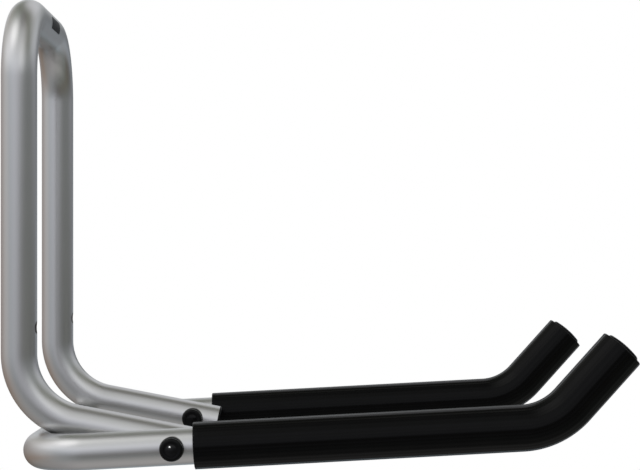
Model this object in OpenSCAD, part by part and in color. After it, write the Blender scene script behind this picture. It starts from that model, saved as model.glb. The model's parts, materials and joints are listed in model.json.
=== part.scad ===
// Folding wall rack for a bicycle.
// A bent-tube wall frame is screwed to the wall, and a bent-tube arm frame swings on two
// bolts at its lower ends. Lowered, the rear cross tube of the arm frame bears up against
// the underside of the legs. Folded up, the arms stand along the wall.
//
// +X points away from the wall, +Z points up, and the wall is the plane X = 0.
// The origin lies on the wall, midway between the two leg screws.
// Right is the +Y side, as seen by a person who faces the wall.

/* [Tube] */
// Outer diameter of the tube
tube_d = 28; // [24:0.5:30]
// Wall thickness of the tube
tube_wall = 1.5; // [1.2:0.1:2]
// Centre-line radius of the bends, other than the arm frame's rear corners
bend_r = 55; // [52:1:60]

/* [Wall frame] */
// Distance between the centre-lines of the legs
leg_spacing = 200; // [180:1:230]
// Height of the top tube's centre-line above the leg screws
top_rise = 249.5; // [200:0.5:300]
// Height of the leg screws above the start of the lower bends
screw_above_bend = 20; // [15:0.5:40]
// Downward slope of the leg ends
leg_slope = 11; // [6:0.5:14]
// Length of the sloping leg end, from the bend to the pivot
slope_to_pivot = 79.5; // [65:0.5:85]
// Length of the leg end beyond the pivot
leg_end = 22; // [18:0.5:26]

/* [Wall screws] */
// Diameter of the screw holes in the wall side of the legs
screw_hole_d = 6.5; // [5:0.5:8]
// Diameter of the driver holes in the front side of the legs
driver_hole_d = 10; // [8:0.5:12]
// Diameter of the keyhole's round part, for a screw head
keyhole_d = 10; // [8:0.5:12]
// Width of the keyhole's slot, for a screw shank
keyslot_w = 5; // [4:0.5:6]
// Height of the keyhole's slot above its round part
keyslot_rise = 8; // [6:0.5:10]

/* [Arm frame] */
// Clear gap between an arm tube and a leg tube at the pivot
arm_gap = 5; // [3:0.1:6]
// Upward tilt of the lowered arms
arm_tilt = 3; // [0:0.5:4]
// Length of an arm from the pivot to its tip bend
arm_len = 266; // [220:1:320]
// Angle of the tip bend
tip_angle = 45; // [30:1:60]
// Length of the straight tip beyond its bend
tip_len = 57; // [40:1:70]
// Centre-line radius of the arm frame's two rear corners, which pass close under the legs
corner_r = 38; // [35:1:42]
// Gap between the rear cross tube and the legs when the arms are down
stop_gap = 0.7; // [0.7:0.1:1.5]

/* [Sleeves] */
// Outer diameter of the sleeves
sleeve_d = 36; // [33:0.5:37]
// Distance from the pivot to the start of a sleeve
sleeve_start = 16; // [14:0.5:30]
// Chamfer at the sleeves' outer rims
sleeve_chamfer = 0.5; // [0.2:0.1:1.5]

/* [End plugs] */
// Height of a plug's head at its rim
plug_rim = 2.2; // [1.5:0.1:3]
// Height of a plug's head at its middle
plug_crown = 3.4; // [2.6:0.1:5]
// Depth of a plug inside the tube
plug_depth = 16; // [10:1:20]
// Number of sealing fins on a plug
plug_fins = 4; // [2:1:5]

/* [Pivot fasteners] */
// Diameter of the pivot bolt
bolt_d = 8; // [6:1:10]
// Length of the bolt under its head
bolt_len = 70; // [68:1:72]
// Diameter of the bolt's head
head_d = 13; // [12:0.5:13]
// Height of the bolt's head
head_h = 5; // [4:0.1:5]
// Thickness of a saddle washer over the tube's crown
washer_t = 1.2; // [1:0.1:1.5]
// Width of the lock nut across its flats
nut_af = 12.6; // [12:0.1:12.6]
// Height of the lock nut
nut_h = 6; // [5:0.1:6.5]
// Outer diameter of the plastic caps
cap_d = 18.5; // [17:0.1:19]
// Diameter of the spacer between an arm and a leg
spacer_d = 18; // [15:0.5:20]

/* [Label] */
// Length of the label on the top tube
label_len = 40; // [20:1:60]
// Arc that the label covers
label_arc = 40; // [20:1:70]

/* [Hidden] */
$fn = 96;

// Fits
running = 0.05;      // radial clearance of a pivot bolt in its holes
slip = 0.05;         // radial clearance of a sleeve, plug or nut on its mate
apart = 0.3;         // gap between surfaces that pass each other
cut = 1;             // how far a cutting solid runs past the surface it cuts

// Tube
tube_r = tube_d / 2;
bore_d = tube_d - 2 * tube_wall;
lap = 0.2;           // how far the straight tube after a bend starts inside it
thinning = 0.05;     // how much thinner its wall is there, inside and out

// Wall frame
half_span = leg_spacing / 2;
lower_bend_angle = 90 - leg_slope;
pivot_x = tube_r + bend_r * (1 - sin(leg_slope)) + slope_to_pivot * cos(leg_slope);
pivot_z = -screw_above_bend - bend_r * cos(leg_slope) - slope_to_pivot * sin(leg_slope);

function hundredths(x) = round(100 * x) / 100;

// Arm frame. The rear cross tube lies where it would touch the outside of the legs' lower
// bends, less the stop gap: the far root of a circle about the bend's centre.
arm_y = half_span + tube_d + arm_gap;
stop_reach = bend_r + tube_d + stop_gap;
from_bend = [pivot_x - tube_r - bend_r, pivot_z + screw_above_bend];
along_arm = from_bend * [cos(arm_tilt), sin(arm_tilt)];
rear_len = hundredths(along_arm + sqrt(along_arm ^ 2 - from_bend * from_bend + stop_reach ^ 2));

// Pivot stack along Y, from the outside inwards
arm_outer = arm_y + tube_r;
head_seat = arm_outer + washer_t + apart;
leg_outer = half_span + tube_r;
leg_inner = half_span - tube_r;
nut_seat = leg_inner - washer_t;
nut_corner_d = nut_af / cos(30);
washer_d = 14.6;
washer_hole_d = bolt_d + 0.4;
socket_af = 5;       // hexagon socket in the bolt's head
socket_depth = 2.5;
end_chamfer = 0.8;   // chamfer of the bolt's end and of the nut's corners

// Plastic caps, with heights over the tube's crown
cap_bore_d = washer_d + 0.2;
cap_flange_h = 2.6;  // top of the flange that rests on the tube
cap_body_d = cap_d - 0.9;
cap_shoulder = 1.9;  // radius of the rounded shoulder
cap_top = 1.1;       // thickness of the top
bolt_cap_h = washer_t + apart + head_h + apart + cap_top;
bolt_end = bolt_len - (head_seat - nut_seat);
nut_cap_h = washer_t + max(nut_h, bolt_end) + apart + cap_top;
button_d = 8.6;      // button in the middle of the top
button_h = 0.9;
groove_w = 1.1;      // groove round the button
groove_h = 0.5;

// Sleeves
sleeve_rim = 6;      // length of the chamfered end of a sleeve

// Plugs
plug_round = 1.8;    // radius of the head's rim
fin_h = 1.2;
fin_proud = 0.8;     // how far a fin stands out from the plug's stem
label_t = 0.2;

silver = "#b4b6b8";
black = "#17181a";
zinc = "#a9adb0";
nylon = "#26282b";

// ---- Tube work. A piece starts at the origin, runs along +Z and bends towards +X. ----

module ring_section(od, id) {
    difference() {
        circle(d = od);
        circle(d = id);
    }
}

module straight_tube(length, od = tube_d, id = bore_d) {
    linear_extrude(length) ring_section(od, id);
}

module bent_tube(angle, od = tube_d, id = bore_d, r = bend_r) {
    rotate([90, 0, 180]) translate([-r, 0, 0])
        rotate_extrude(angle = angle) translate([r, 0]) ring_section(od, id);
}

module after_bend(angle) {
    translate([bend_r, 0, 0]) rotate([0, angle, 0]) translate([-bend_r, 0, 0]) children();
}

// The straight tube after a bend. It laps a little way into the bend.
module end_tube(length, od = tube_d, id = bore_d, chamfer = 0) {
    inner = id / 2 + thinning;
    outer = od / 2 - thinning;
    rotate_extrude() polygon([[inner, -lap], [outer, -lap], [outer, length - chamfer],
        [outer - chamfer, length], [inner, length]]);
}

// ---- Placement ----

module both_sides() {
    children();
    mirror([0, 1, 0]) children();
}

module left_of() {
    mirror([0, 1, 0]) children();
}

// Children are drawn about the pivot axis, with the arm along +X
module at_arm() {
    translate([pivot_x, 0, pivot_z]) rotate([0, -arm_tilt, 0]) children();
}

// Children are drawn about the pivot axis, with the leg end along +X
module at_leg_end() {
    translate([pivot_x, 0, pivot_z]) rotate([0, leg_slope, 0]) children();
}

// Children run along +X, and a bend in them turns up
module along_x() {
    rotate([0, 90, 0]) rotate([0, 0, 180]) children();
}

// Children stand on the outer (+Y) side of the tube, with Z = 0 at height y
module outwards(y) {
    translate([0, y, 0]) rotate([-90, 0, 0]) children();
}

// Children stand on the inner (-Y) side of the tube, with Z = 0 at height y
module inwards(y) {
    translate([0, y, 0]) rotate([90, 0, 0]) children();
}

// ---- Wall frame ----

module wall_frame_tube() {
    top_half = half_span - bend_r;
    leg_len = top_rise - bend_r + screw_above_bend;
    translate([tube_r, 0, top_rise]) {
        translate([0, -top_half, 0]) rotate([-90, 0, 0]) straight_tube(2 * top_half);
        both_sides() {
            translate([0, top_half, 0]) rotate([-90, 0, 0]) rotate([0, 0, 90]) bent_tube(90);
            translate([0, half_span, -bend_r]) rotate([180, 0, 0]) {
                straight_tube(leg_len);
                translate([0, 0, leg_len]) {
                    bent_tube(lower_bend_angle);
                    after_bend(lower_bend_angle) end_tube(slope_to_pivot + leg_end);
                }
            }
        }
    }
}

module keyhole() {
    rotate([0, 90, 0]) translate([0, 0, -cut]) {
        cylinder(d = keyhole_d, h = tube_r);
        translate([-keyslot_rise, 0, 0]) cylinder(d = keyslot_w, h = tube_r);
        translate([-keyslot_rise, -keyslot_w / 2, 0]) cube([keyslot_rise, keyslot_w, tube_r]);
    }
}

module wall_frame() {
    color(silver) difference() {
        wall_frame_tube();
        both_sides() translate([0, half_span, 0]) rotate([0, 90, 0]) {
            translate([0, 0, -cut]) cylinder(d = screw_hole_d, h = tube_r);
            translate([0, 0, tube_r]) cylinder(d = driver_hole_d, h = tube_r + cut);
        }
        translate([0, 0, top_rise - keyslot_rise / 2]) keyhole();
        both_sides() translate([pivot_x, 0, pivot_z]) outwards(leg_inner - cut)
            cylinder(d = bolt_d + 2 * running, h = tube_d + 2 * cut);
    }
}

// ---- Arm frame ----

module arm_frame_tube() {
    rear_straight = rear_len - corner_r;
    rear_half = arm_y - corner_r;
    translate([-rear_len, -rear_half, 0]) rotate([-90, 0, 0]) straight_tube(2 * rear_half);
    both_sides() translate([-rear_straight, arm_y, 0]) {
        rotate([0, -90, 0]) rotate([0, 0, -90]) bent_tube(90, r = corner_r);
        along_x() {
            straight_tube(rear_straight + arm_len);
            translate([0, 0, rear_straight + arm_len]) {
                bent_tube(tip_angle);
                after_bend(tip_angle) end_tube(tip_len);
            }
        }
    }
}

module arm_frame() {
    color(silver) at_arm() difference() {
        arm_frame_tube();
        both_sides() outwards(arm_y - tube_r - cut)
            cylinder(d = bolt_d + 2 * running, h = tube_d + 2 * cut);
    }
}

// ---- Sleeves ----

module sleeve_end(length, id) {
    inner = id / 2;
    outer = sleeve_d / 2;
    rotate_extrude() polygon([[inner, 0], [outer - sleeve_chamfer, 0],
        [outer, sleeve_chamfer], [outer, length], [inner, length]]);
}

module sleeve() {
    id = tube_d + 2 * slip;
    run = arm_len - sleeve_start;
    color(black) at_arm() translate([sleeve_start, arm_y, 0]) along_x() {
        sleeve_end(sleeve_rim, id);
        translate([0, 0, sleeve_rim]) straight_tube(run - sleeve_rim, sleeve_d, id);
        translate([0, 0, run]) {
            bent_tube(tip_angle, sleeve_d, id);
            after_bend(tip_angle) end_tube(tip_len, sleeve_d, id, sleeve_chamfer);
        }
    }
}

// ---- End plugs: a domed head on a finned stem that is pressed into the tube ----

// Outline of the head from its middle to its rim, as [radius, height] points
function plug_head_outline() =
    let (flat_r = tube_r - plug_round, rise = plug_crown - plug_rim,
        crown_r = (flat_r ^ 2 + rise ^ 2) / (2 * rise), steps = 6)
    concat(
        [for (i = [0:steps]) let (r = flat_r * i / steps)
            [r, plug_crown - crown_r + sqrt(crown_r ^ 2 - r ^ 2)]],
        [for (i = [1:steps]) let (a = 90 - 90 * i / steps)
            [flat_r + plug_round * cos(a), plug_rim - plug_round * (1 - sin(a))]]);

module plug() {
    stem_r = bore_d / 2 - slip - fin_proud;
    pitch = (plug_depth - fin_h) / plug_fins;
    rotate_extrude() polygon(concat(plug_head_outline(),
        [[tube_r, 0], [stem_r, 0], [stem_r, -plug_depth], [0, -plug_depth]]));
    for (i = [1:plug_fins]) translate([0, 0, -i * pitch]) difference() {
        cylinder(r = stem_r + fin_proud, h = fin_h);
        translate([0, 0, -cut]) cylinder(r = stem_r, h = fin_h + 2 * cut);
    }
}

module tip_plug() {
    color(black) at_arm() translate([arm_len, arm_y, 0]) along_x() after_bend(tip_angle)
        translate([0, 0, tip_len]) plug();
}

module leg_plug() {
    color(black) at_leg_end() translate([leg_end, half_span, 0]) along_x() plug();
}

// ---- Pivot fasteners ----

module hexagon(af, h) {
    cylinder(d = af / cos(30), h = h, $fn = 6);
}

module pivot_bolt() {
    color(zinc) translate([pivot_x, 0, pivot_z]) outwards(head_seat) {
        difference() {
            cylinder(d = head_d, h = head_h);
            translate([0, 0, head_h - socket_depth]) hexagon(socket_af, socket_depth + cut);
        }
        translate([0, 0, -bolt_len + end_chamfer]) cylinder(d = bolt_d, h = bolt_len - end_chamfer);
        translate([0, 0, -bolt_len])
            cylinder(d1 = bolt_d - 2 * end_chamfer, d2 = bolt_d, h = end_chamfer);
    }
}

// A round pad whose underside is hollowed to sit on the tube, which runs along X under it.
// Z = 0 is the tube's crown.
module saddle(d, t, hole_d) {
    difference() {
        translate([0, 0, -tube_r / 2]) cylinder(d = d, h = tube_r / 2 + t);
        translate([-d, 0, -tube_r]) rotate([0, 90, 0]) cylinder(r = tube_r, h = 2 * d);
        translate([0, 0, -tube_r]) cylinder(d = hole_d, h = tube_r + t + cut);
    }
}

module outer_washer() {
    color(black) at_arm() outwards(arm_outer) saddle(washer_d, washer_t, washer_hole_d);
}

module inner_washer() {
    color(black) at_leg_end() inwards(leg_inner) saddle(washer_d, washer_t, washer_hole_d);
}

module pivot_spacer() {
    color(nylon) at_leg_end() outwards(leg_outer)
        saddle(spacer_d, arm_gap - apart, washer_hole_d);
}

module lock_nut() {
    color(zinc) translate([pivot_x, 0, pivot_z]) inwards(nut_seat) difference() {
        intersection() {
            hexagon(nut_af, nut_h);
            cylinder(d1 = nut_corner_d - 2 * end_chamfer + 2 * nut_h,
                d2 = nut_corner_d - 2 * end_chamfer, h = nut_h);
        }
        translate([0, 0, -cut]) cylinder(d = bolt_d + 2 * slip, h = nut_h + 2 * cut);
    }
}

// Outline of a cap of height h, as [radius, height] points from its axis to its flange
function cap_outline(h) =
    let (body_r = cap_body_d / 2, flat_r = body_r - cap_shoulder, button_r = button_d / 2,
        ball_r = (button_r ^ 2 + button_h ^ 2) / (2 * button_h), steps = 6)
    concat(
        [for (i = [0:steps]) let (r = button_r * i / steps)
            [r, h + button_h - ball_r + sqrt(ball_r ^ 2 - r ^ 2)]],
        [[button_r, h - groove_h], [button_r + groove_w, h - groove_h], [button_r + groove_w, h]],
        [for (i = [0:steps]) let (a = 90 - 90 * i / steps)
            [flat_r + cap_shoulder * cos(a), h - cap_shoulder * (1 - sin(a))]],
        [[body_r, cap_flange_h], [cap_d / 2 - 0.3, cap_flange_h],
            [cap_d / 2, cap_flange_h - 0.3], [cap_d / 2, -tube_r / 2], [0, -tube_r / 2]]);

module cap(h) {
    difference() {
        rotate_extrude() polygon(cap_outline(h));
        translate([0, 0, -tube_r]) cylinder(d = cap_bore_d, h = tube_r + h - cap_top);
        translate([-cap_d, 0, -tube_r]) rotate([0, 90, 0]) cylinder(r = tube_r + slip, h = 2 * cap_d);
    }
}

module bolt_cap() {
    color(black) at_arm() outwards(arm_outer) cap(bolt_cap_h);
}

module nut_cap() {
    color(black) at_leg_end() inwards(leg_inner) cap(nut_cap_h);
}

// ---- Label on the front of the top tube ----

module label() {
    color(black) translate([tube_r, label_len / 2, top_rise]) rotate([90, 0, 0])
        rotate([0, 0, -label_arc / 2]) rotate_extrude(angle = label_arc)
            translate([tube_r, 0]) square([label_t, label_len]);
}

wall_frame();
arm_frame();
sleeve();  // sleeve_right
left_of() sleeve();  // sleeve_left
tip_plug();  // tip_plug_right
left_of() tip_plug();  // tip_plug_left
leg_plug();  // leg_plug_right
left_of() leg_plug();  // leg_plug_left
pivot_bolt();  // pivot_bolt_right
left_of() pivot_bolt();  // pivot_bolt_left
outer_washer();  // outer_washer_right
left_of() outer_washer();  // outer_washer_left
bolt_cap();  // bolt_cap_right
left_of() bolt_cap();  // bolt_cap_left
pivot_spacer();  // pivot_spacer_right
left_of() pivot_spacer();  // pivot_spacer_left
inner_washer();  // inner_washer_right
left_of() inner_washer();  // inner_washer_left
lock_nut();  // lock_nut_right
left_of() lock_nut();  // lock_nut_left
nut_cap();  // nut_cap_right
left_of() nut_cap();  // nut_cap_left
label();
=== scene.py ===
"""Looks of the folding bicycle wall rack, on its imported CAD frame.

Metres, +X away from the wall, +Z up.
"""

import json
from math import acos, cos, pi, radians, sin, sqrt

import bpy
from mathutils import Matrix, Vector


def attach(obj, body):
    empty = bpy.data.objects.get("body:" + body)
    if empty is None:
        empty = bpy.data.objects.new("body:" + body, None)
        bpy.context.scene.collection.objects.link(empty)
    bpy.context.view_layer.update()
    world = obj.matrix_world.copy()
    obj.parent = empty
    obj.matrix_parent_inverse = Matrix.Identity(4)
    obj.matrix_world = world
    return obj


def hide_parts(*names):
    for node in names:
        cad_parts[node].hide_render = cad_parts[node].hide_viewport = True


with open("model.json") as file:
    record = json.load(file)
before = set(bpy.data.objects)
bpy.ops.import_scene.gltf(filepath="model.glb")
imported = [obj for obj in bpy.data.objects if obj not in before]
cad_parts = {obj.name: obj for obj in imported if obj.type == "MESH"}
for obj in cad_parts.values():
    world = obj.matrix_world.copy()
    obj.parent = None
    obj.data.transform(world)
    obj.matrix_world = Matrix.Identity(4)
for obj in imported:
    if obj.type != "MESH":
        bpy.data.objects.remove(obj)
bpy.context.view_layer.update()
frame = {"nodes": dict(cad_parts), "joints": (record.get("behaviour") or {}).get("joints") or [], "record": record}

# ---- Driving dimensions, as in the design ----

TUBE_R = 0.014
BORE_R = 0.0125
BEND_R = 0.055
ARM_TILT = radians(3)
ARM_LEN = 0.266
REAR_LEN = 0.10548
CORNER_R = 0.038
ARM_Y = 0.133
TIP_ANGLE = radians(45)
TIP_LEN = 0.057
LEG_SLOPE = radians(11)
SLOPE_TO_PIVOT = 0.0795
LEG_END = 0.022
SCREW_ABOVE_BEND = 0.020
SCREW_HOLE_R = 0.00325
DRIVER_HOLE_R = 0.005
KEYHOLE_R = 0.005
KEYSLOT_R = 0.0025
KEYSLOT_RISE = 0.008
PIVOT_HOLE_R = 0.00405
LEG_Y = 0.100
TOP_RISE = 0.2495
SLEEVE_R = 0.0180
SLEEVE_BORE = 0.01410
SLEEVE_START = 0.016
FLUTE_DEPTH = 0.0003
CAP_R = 0.00925
BOLT_CAP_H = 0.0079
NUT_CAP_H = 0.0089
BUTTON_R = 0.0043
BUTTON_H = 0.0009
GROOVE_W = 0.0011
GROOVE_H = 0.0005
LABEL_LEN = 0.040
LABEL_ARC = radians(40)
LABEL_T = 0.0002

PIVOT = Vector(frame["joints"][0]["pos_m"])
SIDES = {"right": 1, "left": -1}

# ---- Fineness of the meshes ----

# Points round a skin
TUBE_SEGMENTS = 120
SLEEVE_SEGMENTS = 288
LATHE_SEGMENTS = 96
HOLE_SEGMENTS = 64

# Edges sharper than these are drawn sharp
SMOOTH_ANGLE = radians(35)
PLUG_SMOOTH_ANGLE = radians(60)
CAP_SMOOTH_ANGLE = radians(50)

# How far a cutting shape reaches past what it cuts
CUT_PAST = 0.002


# ---- Mesh helpers ----

def new_object(name, verts, faces, material, smooth_angle=SMOOTH_ANGLE):
    """A smooth object of one material. Edges over smooth_angle stay sharp."""
    mesh = bpy.data.meshes.new(name)
    mesh.from_pydata([tuple(v) for v in verts], [], faces)
    mesh.validate()
    obj = bpy.data.objects.new(name, mesh)
    bpy.context.scene.collection.objects.link(obj)
    mesh.materials.append(material)
    mesh.shade_smooth()
    mesh.set_sharp_from_angle(angle=smooth_angle)
    return obj


def bridge(rings, closed_start, closed_end, loop=False):
    """Vertices and faces of a skin over rings of equal size.

    A closed end is a fan to its ring's middle. In a loop the last ring is joined to the first.
    """
    n = len(rings[0])
    verts = [v for ring in rings for v in ring]
    faces = []
    for i in range(len(rings) if loop else len(rings) - 1):
        here, there = i * n, (i + 1) % len(rings) * n
        for j in range(n):
            k = (j + 1) % n
            faces.append((here + j, here + k, there + k, there + j))
    for ring_index, closed in ((0, closed_start), (len(rings) - 1, closed_end)):
        if closed:
            verts.append(sum(rings[ring_index], Vector()) / n)
            middle = len(verts) - 1
            for j in range(n):
                pair = (ring_index * n + j, ring_index * n + (j + 1) % n)
                faces.append((middle,) + (pair[::-1] if ring_index == 0 else pair))
    return verts, faces


def arc(centre, radius, start, end, steps):
    """Points of an arc in a flat profile or outline, from angle start to end in degrees."""
    angles = [radians(start + (end - start) * i / steps) for i in range(steps + 1)]
    return [(centre[0] + radius * cos(a), centre[1] + radius * sin(a)) for a in angles]


def turned(profile, saddle_r=None):
    """Rings of a profile of (radius, height) points turned about +Z, from its rim to its middle.

    With saddle_r, a point below height 0 is drawn on a tube of that radius, which runs along X
    with its crown at 0.
    """
    rings = []
    for r, h in profile:
        ring = []
        for j in range(LATHE_SEGMENTS):
            a = 2 * pi * j / LATHE_SEGMENTS
            z = h
            if saddle_r and h < 0:
                z = sqrt(saddle_r ** 2 - (r * sin(a)) ** 2) - saddle_r
            ring.append(Vector((r * cos(a), r * sin(a), z)))
        rings.append(ring)
    return rings


def placed(rings, matrix):
    """The rings, each point moved by the matrix."""
    return [[matrix @ v for v in ring] for ring in rings]


def at_arm():
    """Frame about the pivot axis with the arm along +X."""
    return Matrix.Translation(PIVOT) @ Matrix.Rotation(-ARM_TILT, 4, "Y")


def at_leg_end():
    """Frame about the pivot axis with the leg end along +X."""
    return Matrix.Translation(PIVOT) @ Matrix.Rotation(LEG_SLOPE, 4, "Y")


def facing(direction, position):
    """Frame with +Z along direction, and +X as near as can be to the frame's own +X."""
    z = Vector(direction).normalized()
    y = z.cross(Vector((1, 0, 0))).normalized()
    # A direction along X itself leaves no cross product, so +Y is taken
    if y.length < 0.5:
        y = Vector((0, 1, 0))
    x = y.cross(z)
    rotation = Matrix((x, y, z)).transposed().to_4x4()
    return Matrix.Translation(Vector(position)) @ rotation


# ---- Materials ----

# Most values of a noise texture lie between these
NOISE_LOW = 0.3
NOISE_HIGH = 0.7


class Shader:
    """A material with its Principled node, and short calls for the nodes that feed it."""

    def __init__(self, name, color, roughness, **sockets):
        self.material = bpy.data.materials.new(name)
        self.material.use_nodes = True
        self.tree = self.material.node_tree
        self.bsdf = self.tree.nodes["Principled BSDF"]
        self.bsdf.inputs["Base Color"].default_value = (*color, 1)
        self.bsdf.inputs["Roughness"].default_value = roughness
        for socket, value in sockets.items():
            self.bsdf.inputs[socket.replace("_", " ")].default_value = value
        self.coords = self.add("ShaderNodeTexCoord").outputs["Object"]

    def add(self, kind, **inputs):
        node = self.tree.nodes.new(kind)
        for socket, value in inputs.items():
            self.feed(node.inputs[socket.replace("_", " ")], value)
        return node

    def feed(self, socket, value):
        if isinstance(value, bpy.types.NodeSocket):
            self.tree.links.new(value, socket)
        else:
            socket.default_value = value

    def noise(self, scale, detail, stretch=None):
        coords = self.coords
        if stretch:
            mapping = self.add("ShaderNodeMapping", Vector=coords)
            mapping.inputs["Scale"].default_value = stretch
            coords = mapping.outputs["Vector"]
        texture = self.add("ShaderNodeTexNoise", Vector=coords, Scale=scale, Detail=detail)
        return texture.outputs["Fac"]

    def spread(self, factor, low, high):
        """A noise's values spread out over the range from low to high."""
        node = self.add("ShaderNodeMapRange", Value=factor)
        node.inputs["From Min"].default_value = NOISE_LOW
        node.inputs["From Max"].default_value = NOISE_HIGH
        node.inputs["To Min"].default_value = low
        node.inputs["To Max"].default_value = high
        return node.outputs["Result"]

    def vary_color(self, factor, dark, light):
        mix = self.add("ShaderNodeMix")
        mix.data_type = "RGBA"
        self.feed(mix.inputs["Factor"], factor)
        # Sockets 6 and 7 are the mixed colours A and B, and output 2 is the colour result
        mix.inputs[6].default_value = (*dark, 1)
        mix.inputs[7].default_value = (*light, 1)
        self.tree.links.new(mix.outputs[2], self.bsdf.inputs["Base Color"])

    def vary_roughness(self, factor, low, high):
        self.tree.links.new(self.spread(factor, low, high), self.bsdf.inputs["Roughness"])

    def bump(self, factor, distance):
        node = self.add("ShaderNodeBump", Strength=1.0, Distance=distance, Height=factor)
        self.tree.links.new(node.outputs["Normal"], self.bsdf.inputs["Normal"])


def silver_paint():
    """Satin silver finish on steel tube, with a fine metallic flake and a trace of orange peel."""
    s = Shader("silver_paint", (0.64, 0.64, 0.64), 0.33, Metallic=1.0)
    s.vary_color(s.noise(2400, 2), (0.62, 0.62, 0.62), (0.66, 0.66, 0.66))
    s.vary_roughness(s.noise(35, 4), 0.32, 0.35)
    s.bump(s.noise(120, 1), 0.000002)
    return s.material


def sleeve_rubber():
    """Extruded black vinyl with a soft shine and a soft mottle, drawn out along the arm."""
    s = Shader("sleeve_rubber", (0.0015, 0.0015, 0.0016), 0.24, Specular_IOR_Level=0.10)
    s.vary_color(s.noise(60, 3), (0.0012, 0.0012, 0.0013), (0.0024, 0.0024, 0.0025))
    s.vary_roughness(s.noise(45, 4, stretch=(0.15, 1, 1)), 0.20, 0.30)
    s.bump(s.noise(700, 3), 0.00001)
    return s.material


def black_plastic(name, roughness, grain, shine):
    """Moulded black plastic. grain is the height of its texture in metres."""
    uneven = 0.02
    s = Shader(name, (0.002, 0.002, 0.0022), roughness, Specular_IOR_Level=shine)
    s.vary_color(s.noise(150, 3), (0.0016, 0.0016, 0.0018), (0.003, 0.003, 0.0033))
    s.vary_roughness(s.noise(220, 3), roughness - uneven, roughness + uneven)
    s.bump(s.noise(1600, 2), grain)
    return s.material


def zinc():
    """Zinc-plated steel, slightly cloudy."""
    s = Shader("zinc", (0.62, 0.63, 0.64), 0.3, Metallic=1.0)
    s.vary_color(s.noise(180, 4), (0.52, 0.53, 0.55), (0.68, 0.68, 0.67))
    s.vary_roughness(s.noise(90, 4), 0.24, 0.4)
    s.bump(s.noise(1200, 2), 0.00001)
    return s.material


def printed_film():
    """Black printed film of the label."""
    s = Shader("printed_film", (0.002, 0.002, 0.0022), 0.3, Specular_IOR_Level=0.03)
    s.vary_color(s.noise(400, 2), (0.0016, 0.0016, 0.0018), (0.003, 0.003, 0.0033))
    s.vary_roughness(s.noise(120, 3), 0.26, 0.34)
    s.bump(s.noise(2000, 2), 0.000005)
    return s.material


SILVER = silver_paint()
RUBBER = sleeve_rubber()
PLUG_PLASTIC = black_plastic("plug_plastic", 0.30, 0.00001, 0.15)
CAP_PLASTIC = black_plastic("cap_plastic", 0.16, 0.000001, 0.15)
NYLON = black_plastic("nylon", 0.45, 0.00002, 0.3)
ZINC = zinc()
FILM = printed_film()

SLOT_MATERIALS = {
    "silver_tube": SILVER,
    "sleeve": RUBBER,
    "plug": PLUG_PLASTIC,
    "cap": CAP_PLASTIC,
    "nylon": NYLON,
    "zinc_steel": ZINC,
    "label": FILM,
}

for part in frame["record"]["subparts"]:
    data = frame["nodes"][part["node"]].data
    data.materials.clear()
    data.materials.append(SLOT_MATERIALS[part["material_slot"]])


# ---- Tubes ----

def bent_path(point, heading, moves):
    """Stations of a bent tube's centre-line, each a point with its direction.

    A move is a length to go straight on, or an angle, a radius and an axis to turn about.
    """
    station_gap = 0.008
    station_turn = radians(3)
    stations = [(Vector(point), Vector(heading))]
    for move in moves:
        point, heading = stations[-1]
        if isinstance(move, float):
            steps = round(move / station_gap) + 1
            stations += [(point + heading * move * i / steps, heading)
                         for i in range(1, steps + 1)]
        else:
            angle, radius, axis = move
            centre = point + radius * Vector(axis).cross(heading)
            steps = round(angle / station_turn)
            for i in range(1, steps + 1):
                turn = Matrix.Rotation(angle * i / steps, 3, axis)
                stations.append((centre + turn @ (point - centre), turn @ heading))
    return stations


def tube_rings(stations, radius):
    """Rings round a centre-line, each turned on from the one before without a twist."""
    rings = []
    last = stations[0][1]
    side = last.orthogonal().normalized()
    angles = [2 * pi * j / TUBE_SEGMENTS for j in range(TUBE_SEGMENTS)]
    for point, heading in stations:
        side = last.rotation_difference(heading) @ side
        last = heading
        up = heading.cross(side)
        rings.append([point + radius * (cos(a) * side + sin(a) * up) for a in angles])
    return rings


def prism(outline, matrix, start, end):
    """Rings of a cutting shape: an outline of (x, y) points from height start to height end."""
    return [[matrix @ Vector((x, y, z)) for x, y in outline] for z in (start, end)]


def hole(radius):
    """Outline of a round hole."""
    return arc((0, 0), radius, 0, 360, HOLE_SEGMENTS)[:-1]


def pivot_cutter(y):
    """Cutting shape of a pivot hole right through the tube whose centre-line is at y."""
    across = facing((0, 1, 0), PIVOT + Vector((0, y, 0)))
    return prism(hole(PIVOT_HOLE_R), across, -TUBE_R - CUT_PAST, TUBE_R + CUT_PAST)


def make_tube(name, body, stations, matrix, cutters):
    """A tube with its wall, and with the shapes in cutters cut out of it."""
    rings = tube_rings(stations, TUBE_R) + tube_rings(stations, BORE_R)[::-1]
    skin = bridge(placed(rings, matrix), False, False, loop=True)
    obj = new_object(name + "_tube", *skin, SILVER)
    verts, faces = [], []
    for cutter in cutters:
        points, sides = bridge(cutter, True, True)
        faces += [tuple(len(verts) + i for i in side) for side in sides]
        verts += points
    tool = new_object(name + "_cutter", verts, faces, SILVER)
    cut = obj.modifiers.new("holes", "BOOLEAN")
    cut.object = tool
    cut.solver = "EXACT"
    # The cut mesh takes the plain one's place, and nothing of the cutting shapes is kept
    plain = obj.data
    evaluated = obj.evaluated_get(bpy.context.evaluated_depsgraph_get())
    mesh = bpy.data.meshes.new_from_object(evaluated)
    obj.modifiers.clear()
    obj.data = mesh
    mesh.set_sharp_from_angle(angle=SMOOTH_ANGLE)
    bpy.data.meshes.remove(plain)
    bpy.data.meshes.remove(tool.data)
    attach(obj, body)
    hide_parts(name)


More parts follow.
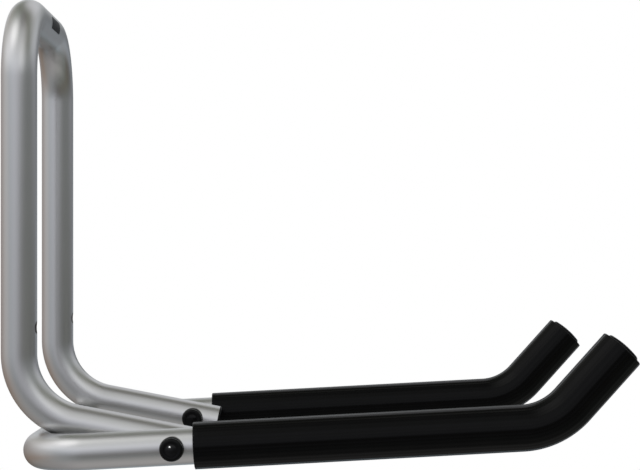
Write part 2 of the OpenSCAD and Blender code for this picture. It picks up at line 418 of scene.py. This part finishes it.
def make_wall_frame():
    """The upside-down U on the wall, with its keyhole, screw holes and pivot holes."""
    up_run = TOP_RISE - BEND_R + SCREW_ABOVE_BEND
    slope_run = SLOPE_TO_PIVOT + LEG_END
    lower_turn = pi / 2 - LEG_SLOPE
    outwards = Vector((cos(LEG_SLOPE), 0, -sin(LEG_SLOPE)))
    end = PIVOT + Vector((0, LEG_Y, 0)) + LEG_END * outwards
    # From the end of the right leg over the top to the end of the left leg
    stations = bent_path(end, -outwards, (
        slope_run,
        (lower_turn, BEND_R, (0, 1, 0)),
        up_run,
        (pi / 2, BEND_R, (1, 0, 0)),
        2 * (LEG_Y - BEND_R),
        (pi / 2, BEND_R, (1, 0, 0)),
        up_run,
        (lower_turn, BEND_R, (0, -1, 0)),
        slope_run,
    ))
    # Cutting shapes are drawn from the wall forwards, with their own X along +Y and Y along +Z
    forwards = Matrix(((0, 0, 1), (1, 0, 0), (0, 1, 0))).to_4x4()
    middle = TUBE_R
    front = 2 * TUBE_R
    # The round part is open for 60 degrees at its top, which is as wide as the slot
    round_part = arc((0, 0), KEYHOLE_R, 120, 420, 48)
    slot_end = arc((0, KEYSLOT_RISE), KEYSLOT_R, 0, 180, 24)
    keyhole = Matrix.Translation((0, 0, TOP_RISE - KEYSLOT_RISE / 2)) @ forwards
    cutters = [prism(round_part + slot_end, keyhole, -CUT_PAST, middle)]
    for sign in SIDES.values():
        screw = Matrix.Translation((0, sign * LEG_Y, 0)) @ forwards
        cutters.append(prism(hole(SCREW_HOLE_R), screw, -CUT_PAST, middle - CUT_PAST))
        cutters.append(prism(hole(DRIVER_HOLE_R), screw, middle + CUT_PAST, front + CUT_PAST))
        cutters.append(pivot_cutter(sign * LEG_Y))
    make_tube("wall_frame", "wall_side", stations, Matrix(), cutters)


def make_arm_frame():
    """The U of the two arms and the rear cross tube, with its pivot holes."""
    end, angle = sleeve_path()[-1]
    arm_run = ARM_LEN + REAR_LEN - CORNER_R
    # From the tip of the right arm round the rear to the tip of the left arm, in the arms' frame
    stations = bent_path((end.x, ARM_Y, end.z), (-cos(angle), 0, -sin(angle)), (
        TIP_LEN,
        (TIP_ANGLE, BEND_R, (0, 1, 0)),
        arm_run,
        (pi / 2, CORNER_R, (0, 0, 1)),
        2 * (ARM_Y - CORNER_R),
        (pi / 2, CORNER_R, (0, 0, 1)),
        arm_run,
        (TIP_ANGLE, BEND_R, (0, -1, 0)),
        TIP_LEN,
    ))
    cutters = [pivot_cutter(sign * ARM_Y) for sign in SIDES.values()]
    make_tube("arm_frame", "swing_arms", stations, at_arm(), cutters)


# ---- Sleeves ----

def sleeve_path():
    """Centre-line points and directions of a sleeve, in the arm's frame with Y left at 0."""
    arm_steps = 60
    bend_steps = 24
    tip_steps = 14
    points = []
    for i in range(arm_steps + 1):
        t = SLEEVE_START + (ARM_LEN - SLEEVE_START) * i / arm_steps
        points.append((Vector((t, 0, 0)), 0.0))
    for i in range(1, bend_steps + 1):
        a = TIP_ANGLE * i / bend_steps
        points.append((Vector((ARM_LEN + BEND_R * sin(a), 0, BEND_R * (1 - cos(a)))), a))
    end, angle = points[-1]
    for i in range(1, tip_steps + 1):
        t = TIP_LEN * i / tip_steps
        points.append((end + Vector((cos(angle), 0, sin(angle))) * t, angle))
    return points


def flute(angle):
    """Depth of the faint lengthwise flutes, left by the extruder, at an angle round the sleeve.

    Three sets of waves, 11, 17 and 29 of them in a turn, make up an uneven pattern.
    """
    return FLUTE_DEPTH * (3 - sin(11 * angle) - sin(17 * angle + 1) - sin(29 * angle + 2)) / 6


def ring_about(point, angle, radius, shift=0.0, fluted=0.0):
    """A ring round the path, moved along it by shift. fluted is the share of the flutes' depth."""
    along = Vector((cos(angle), 0, sin(angle)))
    up = Vector((-sin(angle), 0, cos(angle)))
    side = Vector((0, 1, 0))
    centre = point + along * shift
    ring = []
    for j in range(SLEEVE_SEGMENTS):
        a = 2 * pi * j / SLEEVE_SEGMENTS
        ring.append(centre + (radius - fluted * flute(a)) * (cos(a) * up + sin(a) * side))
    return ring


def make_sleeve(side):
    """A sleeve's skin, from inside its rear end over its rounded rims to inside its front end."""
    path = sleeve_path()
    start_rim = 0.0006
    end_rim = 0.001
    lip = 0.0002
    tuck = 0.004
    rim_steps = 6
    rim_angles = [pi / 2 * i / rim_steps for i in range(rim_steps + 1)]
    start, start_angle = path[0]
    end, end_angle = path[-1]
    rings = [ring_about(start, start_angle, SLEEVE_BORE, tuck),
             ring_about(start, start_angle, SLEEVE_BORE + lip)]
    for a in rim_angles:
        rings.append(ring_about(start, start_angle, SLEEVE_R - start_rim + start_rim * sin(a),
                                start_rim - start_rim * cos(a), sin(a)))
    for point, angle in path[1:-1]:
        rings.append(ring_about(point, angle, SLEEVE_R, fluted=1))
    for a in rim_angles:
        rings.append(ring_about(end, end_angle, SLEEVE_R - end_rim + end_rim * cos(a),
                                end_rim * sin(a) - end_rim, cos(a)))
    rings.append(ring_about(end, end_angle, SLEEVE_BORE + lip))
    rings.append(ring_about(end, end_angle, SLEEVE_BORE, -tuck))
    matrix = at_arm() @ Matrix.Translation((0, SIDES[side] * ARM_Y, 0))
    verts, faces = bridge(placed(rings, matrix), False, False)
    obj = new_object("sleeve_skin_" + side, verts, faces, RUBBER)
    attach(obj, "swing_arms")
    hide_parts("sleeve_" + side)


# ---- End plugs ----

def plug_profile():
    """Head of a plug from its rim on the tube to its middle: a rounded edge, then a low dome."""
    stem_r = 0.0118
    chamfer = 0.0002
    edge_r = 0.0018
    rim_h = 0.0022
    crown = 0.0034
    edge_steps = 8
    dome_steps = 14
    flat_r = TUBE_R - edge_r
    rise = crown - rim_h
    dome_r = (flat_r ** 2 + rise ** 2) / (2 * rise)
    lean = acos(1 - rise / dome_r)
    profile = [(stem_r, 0.0), (TUBE_R - chamfer, 0.0), (TUBE_R, chamfer)]
    profile += arc((flat_r, rim_h - edge_r), edge_r, 0, 90, edge_steps)
    for i in range(1, dome_steps):
        a = lean * (1 - i / dome_steps)
        profile.append((dome_r * sin(a), crown - dome_r * (1 - cos(a))))
    return profile


def make_plug(name, matrix, body):
    """The head of a plug. Its finned stem is hidden in the tube, and isn't drawn."""
    rings = placed(turned(plug_profile()), matrix)
    verts, faces = bridge(rings, False, True)
    obj = new_object(name + "_head", verts, faces, PLUG_PLASTIC, PLUG_SMOOTH_ANGLE)
    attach(obj, body)
    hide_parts(name)


def tip_frame(side):
    """Frame on the end of an arm's tip, with +Z out of the tube."""
    end, angle = sleeve_path()[-1]
    end = Vector((end.x, SIDES[side] * ARM_Y, end.z))
    return at_arm() @ facing((cos(angle), 0, sin(angle)), end)


def leg_end_frame(side):
    """Frame on the end of a leg, with +Z out of the tube."""
    return at_leg_end() @ facing((1, 0, 0), (LEG_END, SIDES[side] * LEG_Y, 0))


# ---- Caps over the bolt heads and nuts ----

def cap_profile(height):
    """A cap from its foot on the tube to the floor of its groove."""
    # Any height below 0 stands for the tube's own surface
    foot = -1.0
    flange_w = 0.00045
    flange_h = 0.0026
    step = 0.00005
    shoulder = 0.0019
    shoulder_steps = 12
    soft = 0.0002
    soft_steps = 3
    body_r = CAP_R - flange_w
    groove_r = BUTTON_R + GROOVE_W
    profile = [(CAP_R, foot), (CAP_R, 0.0), (CAP_R, flange_h - soft)]
    profile += arc((CAP_R - soft, flange_h - soft), soft, 0, 90, soft_steps)
    profile += [(body_r, flange_h + step)]
    profile += arc((body_r - shoulder, height - shoulder), shoulder, 0, 90, shoulder_steps)
    profile += arc((groove_r + soft, height - soft), soft, 90, 180, soft_steps)
    profile += [(groove_r, height - GROOVE_H), (BUTTON_R - soft, height - GROOVE_H)]
    return profile


def button_profile(height):
    """The domed button in a cap's groove, from just below the groove's floor to its middle."""
    soft = 0.0002
    foot = 0.0002
    ball_r = (BUTTON_R ** 2 + BUTTON_H ** 2) / (2 * BUTTON_H)
    lean = acos(1 - BUTTON_H / ball_r)
    dome_steps = 16
    profile = [(BUTTON_R, height - GROOVE_H - foot), (BUTTON_R, height - soft)]
    for i in range(dome_steps):
        a = lean * (1 - i / dome_steps)
        profile.append((ball_r * sin(a), height + BUTTON_H - ball_r * (1 - cos(a))))
    return profile


def make_cap(name, matrix, height, body):
    """A cap as two pieces, the shell on the tube and the button in the shell's groove."""
    cap_parts = (
        ("_shell", cap_profile(height), False),
        ("_button", button_profile(height), True),
    )
    for suffix, profile, closed in cap_parts:
        rings = placed(turned(profile, saddle_r=TUBE_R), matrix)
        verts, faces = bridge(rings, False, closed)
        obj = new_object(name + suffix, verts, faces, CAP_PLASTIC, CAP_SMOOTH_ANGLE)
        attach(obj, body)
        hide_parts(name)


# ---- Label ----

def make_label():
    """A thin curved plate with rounded corners on the front of the top tube."""
    corner = 0.0018
    half_w = LABEL_LEN / 2
    half_h = TUBE_R * LABEL_ARC / 2
    steps = 12
    corner_steps = 6
    outline = []
    for cx, cy, start in ((1, 1, 0), (-1, 1, 90), (-1, -1, 180), (1, -1, 270)):
        centre = (cx * (half_w - corner), cy * (half_h - corner))
        outline += arc(centre, corner, start, start + 90, corner_steps)
    # More points along the straight sides, so that the plate follows the tube
    sides = []
    for (x0, y0), (x1, y1) in zip(outline, outline[1:] + outline[:1]):
        count = steps if abs(y1 - y0) > corner or abs(x1 - x0) > corner else 1
        sides += [(x0 + (x1 - x0) * i / count, y0 + (y1 - y0) * i / count) for i in range(count)]
    rings = [[(x, y, TUBE_R) for x, y in sides]]
    for i in range(steps):
        share = 1 - i / steps
        rings.append([(x * share, y * share, TUBE_R + LABEL_T) for x, y in sides])
    wrapped = [[Vector((TUBE_R + r * cos(y / TUBE_R), x, TOP_RISE + r * sin(y / TUBE_R)))
                for x, y, r in ring] for ring in rings]
    verts, faces = bridge(wrapped, False, True)
    obj = new_object("label_film", verts, faces, FILM)
    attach(obj, "wall_side")
    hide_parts("label")


make_wall_frame()
make_arm_frame()
for side, sign in SIDES.items():
    make_sleeve(side)
    make_plug("tip_plug_" + side, tip_frame(side), "swing_arms")
    make_plug("leg_plug_" + side, leg_end_frame(side), "wall_side")
    arm_outer = at_arm() @ facing((0, sign, 0), (0, sign * (ARM_Y + TUBE_R), 0))
    make_cap("bolt_cap_" + side, arm_outer, BOLT_CAP_H, "swing_arms")
    leg_inner = at_leg_end() @ facing((0, -sign, 0), (0, sign * (LEG_Y - TUBE_R), 0))
    make_cap("nut_cap_" + side, leg_inner, NUT_CAP_H, "wall_side")
make_label()


# ---- Studio ----

FLOOR_Z = -0.32
FLOOR_SIZE = 12.0
FLOOR_COLOR = (0.86, 0.86, 0.85)
WHITE = (1, 1, 1)

# The floor's painted white glow starts at the first distance from its middle, and covers it wholly from the second
# on
GLOW_FROM = 0.35
FULL_GLOW_FROM = 1.5

# The numbers in STUDIO and SOFT_LIGHTS weren't chosen by hand. A separate program picked the lights from a grid
# of directions, and solved all the colours by least squares against the colours of the photo. They are those
# results to two decimals, with three lights changed since.

# Colour of the studio from straight down to straight up, by elevation in degrees
STUDIO = (
    (-90, (0.45, 0.43, 0.43)),
    (-60, (0.33, 0.32, 0.32)),
    (-35, (0.16, 0.17, 0.17)),
    (-20, (0.08, 0.05, 0.03)),
    (-6, (0.12, 0.12, 0.12)),
    (8, (0.19, 0.20, 0.21)),
    (22, (0.40, 0.42, 0.42)),
    (42, (0.21, 0.22, 0.18)),
    (65, (0.16, 0.17, 0.12)),
    (90, (0.11, 0.09, 0.07)),
)

# Soft round lights on the studio's walls: azimuth and elevation in degrees (azimuth 0 is the
# camera's side, 90 is +X), the angle at which the light fades out, and its colour at the middle.
# The names only tell the lights apart, and were given after the program had placed them
SOFT_LIGHTS = (
    ("bright room", -45, 30, 85, (0.25, 0.29, 0.32)),
    ("left lamp", -60, 60, 25, (0.81, 0.79, 0.77)),
    ("right lamp", 45, 60, 25, (0.32, 0.30, 0.33)),
    ("back left window", -165, 15, 25, (0.42, 0.43, 0.45)),
    ("back lamp", 165, 45, 25, (0.61, 0.60, 0.67)),
    ("left window", -75, 45, 35, (0.37, 0.34, 0.37)),
    ("front window", 30, 30, 25, (0.43, 0.43, 0.44)),
    ("right window", 120, 30, 35, (0.28, 0.28, 0.31)),
    ("warm wall", -105, 0, 65, (0.26, 0.21, 0.18)),
    ("back right floor", 150, -15, 25, (0.31, 0.35, 0.39)),
    ("front wall", -15, 30, 50, (0.29, 0.25, 0.27)),
    ("right floor", 75, -45, 65, (0.09, 0.10, 0.08)),
    ("back floor", -180, -30, 25, (0.23, 0.30, 0.35)),
    ("left floor", -45, -45, 35, (0.10, 0.10, 0.10)),
)

# The lamp that makes the glint on the bolt caps, placed from the middle of the pivot axis
GLINT_OFFSET = Vector((-0.41, -1.58, 0.54))
GLINT_SIZE = 0.3
GLINT_POWER = 35


def make_floor():
    """A pale floor well below the rack. Further out it fades into a painted white glow, though it is no lamp."""
    size = FLOOR_SIZE / 2
    corners = ((-size, -size), (size, -size), (size, size), (-size, size))
    verts = [(x, y, FLOOR_Z) for x, y in corners]
    material = bpy.data.materials.new("pale_floor_with_painted_glow")
    material.use_nodes = True
    nodes, links = material.node_tree.nodes, material.node_tree.links
    nodes.clear()
    out = nodes.new("ShaderNodeOutputMaterial")
    mix = nodes.new("ShaderNodeMixShader")
    diffuse = nodes.new("ShaderNodeBsdfDiffuse")
    diffuse.inputs["Color"].default_value = (*FLOOR_COLOR, 1)
    # Painted glow: the floor's outer part emits plain white, though it is no lamp
    glow = nodes.new("ShaderNodeEmission")
    glow.inputs["Color"].default_value = (*WHITE, 1)
    distance = nodes.new("ShaderNodeVectorMath")
    distance.operation = "LENGTH"
    coords = nodes.new("ShaderNodeTexCoord")
    fade = nodes.new("ShaderNodeMapRange")
    fade.inputs["From Min"].default_value = GLOW_FROM
    fade.inputs["From Max"].default_value = FULL_GLOW_FROM
    links.new(coords.outputs["Object"], distance.inputs[0])
    links.new(distance.outputs["Value"], fade.inputs["Value"])
    links.new(fade.outputs["Result"], mix.inputs["Fac"])
    links.new(diffuse.outputs["BSDF"], mix.inputs[1])
    links.new(glow.outputs["Emission"], mix.inputs[2])
    links.new(mix.outputs["Shader"], out.inputs["Surface"])
    floor = new_object("floor", verts, [(0, 1, 2, 3)], material)
    floor.visible_glossy = False


def make_world():
    """Soft studio light from all round. The camera sees the background as plain white."""
    world = bpy.data.worlds.new("studio")
    bpy.context.scene.world = world
    world.use_nodes = True
    nodes, links = world.node_tree.nodes, world.node_tree.links
    nodes.clear()
    out = nodes.new("ShaderNodeOutputWorld")
    coords = nodes.new("ShaderNodeTexCoord")
    split = nodes.new("ShaderNodeSeparateXYZ")
    links.new(coords.outputs["Generated"], split.inputs["Vector"])
    height = nodes.new("ShaderNodeMapRange")
    height.inputs["From Min"].default_value = -1
    links.new(split.outputs["Z"], height.inputs["Value"])
    ramp = nodes.new("ShaderNodeValToRGB")
    ramp.color_ramp.interpolation = "EASE"
    elements = ramp.color_ramp.elements
    # The new stops are moved to their places below
    while len(elements) < len(STUDIO):
        elements.new(0.5)
    for element, (elevation, color) in zip(elements, STUDIO):
        element.position = (sin(radians(elevation)) + 1) / 2
        element.color = (*color, 1)
    links.new(height.outputs["Result"], ramp.inputs["Fac"])

    total = ramp.outputs["Color"]
    for label, azimuth, elevation, reach, color in SOFT_LIGHTS:
        a, e = radians(azimuth), radians(elevation)
        toward = nodes.new("ShaderNodeVectorMath")
        toward.operation = "DOT_PRODUCT"
        toward.inputs[1].default_value = (sin(a) * cos(e), -cos(a) * cos(e), sin(e))
        links.new(coords.outputs["Generated"], toward.inputs[0])
        fade = nodes.new("ShaderNodeMapRange")
        fade.label = label
        fade.interpolation_type = "SMOOTHSTEP"
        fade.inputs["From Min"].default_value = cos(radians(reach))
        links.new(toward.outputs["Value"], fade.inputs["Value"])
        light = nodes.new("ShaderNodeMix")
        light.data_type = "RGBA"
        light.blend_type = "ADD"
        light.clamp_result = False
        links.new(fade.outputs["Result"], light.inputs["Factor"])
        links.new(total, light.inputs[6])
        light.inputs[7].default_value = (*color, 1)
        total = light.outputs[2]

    studio = nodes.new("ShaderNodeBackground")
    links.new(total, studio.inputs["Color"])
    white = nodes.new("ShaderNodeBackground")
    white.inputs["Color"].default_value = (*WHITE, 1)
    rays = nodes.new("ShaderNodeLightPath")
    mix = nodes.new("ShaderNodeMixShader")
    links.new(rays.outputs["Is Camera Ray"], mix.inputs["Fac"])
    links.new(studio.outputs["Background"], mix.inputs[1])
    links.new(white.outputs["Background"], mix.inputs[2])
    links.new(mix.outputs["Shader"], out.inputs["Surface"])


def make_glint():
    """A small round lamp before the rack, which shines on the bolt caps' buttons alone."""
    lamp = bpy.data.lights.new("glint", "AREA")
    lamp.shape = "DISK"
    lamp.size = GLINT_SIZE
    lamp.energy = GLINT_POWER
    obj = bpy.data.objects.new("glint", lamp)
    obj.location = PIVOT + GLINT_OFFSET
    aim = PIVOT - Vector((0, ARM_Y, 0)) - obj.location
    obj.rotation_euler = aim.to_track_quat("-Z", "Y").to_euler()
    bpy.context.scene.collection.objects.link(obj)
    buttons = bpy.data.collections.new("buttons")
    for side in SIDES:
        buttons.objects.link(bpy.data.objects["bolt_cap_" + side + "_button"])
    obj.light_linking.receiver_collection = buttons


def make_camera():
    """The camera, as a separate program fitted it to the rack's outlines in the photo."""
    camera = bpy.data.cameras.new("camera")
    camera.lens = 91.17
    camera.sensor_width = 36
    camera.shift_y = 0.0361
    obj = bpy.data.objects.new("camera", camera)
    obj.location = (0.2335, -1.3647, 0.0542)
    obj.rotation_euler = (radians(90), 0, radians(-0.675))
    bpy.context.scene.collection.objects.link(obj)
    bpy.context.scene.camera = obj
    bpy.context.scene.view_settings.view_transform = "Standard"


make_floor()
make_world()
make_glint()
make_camera()
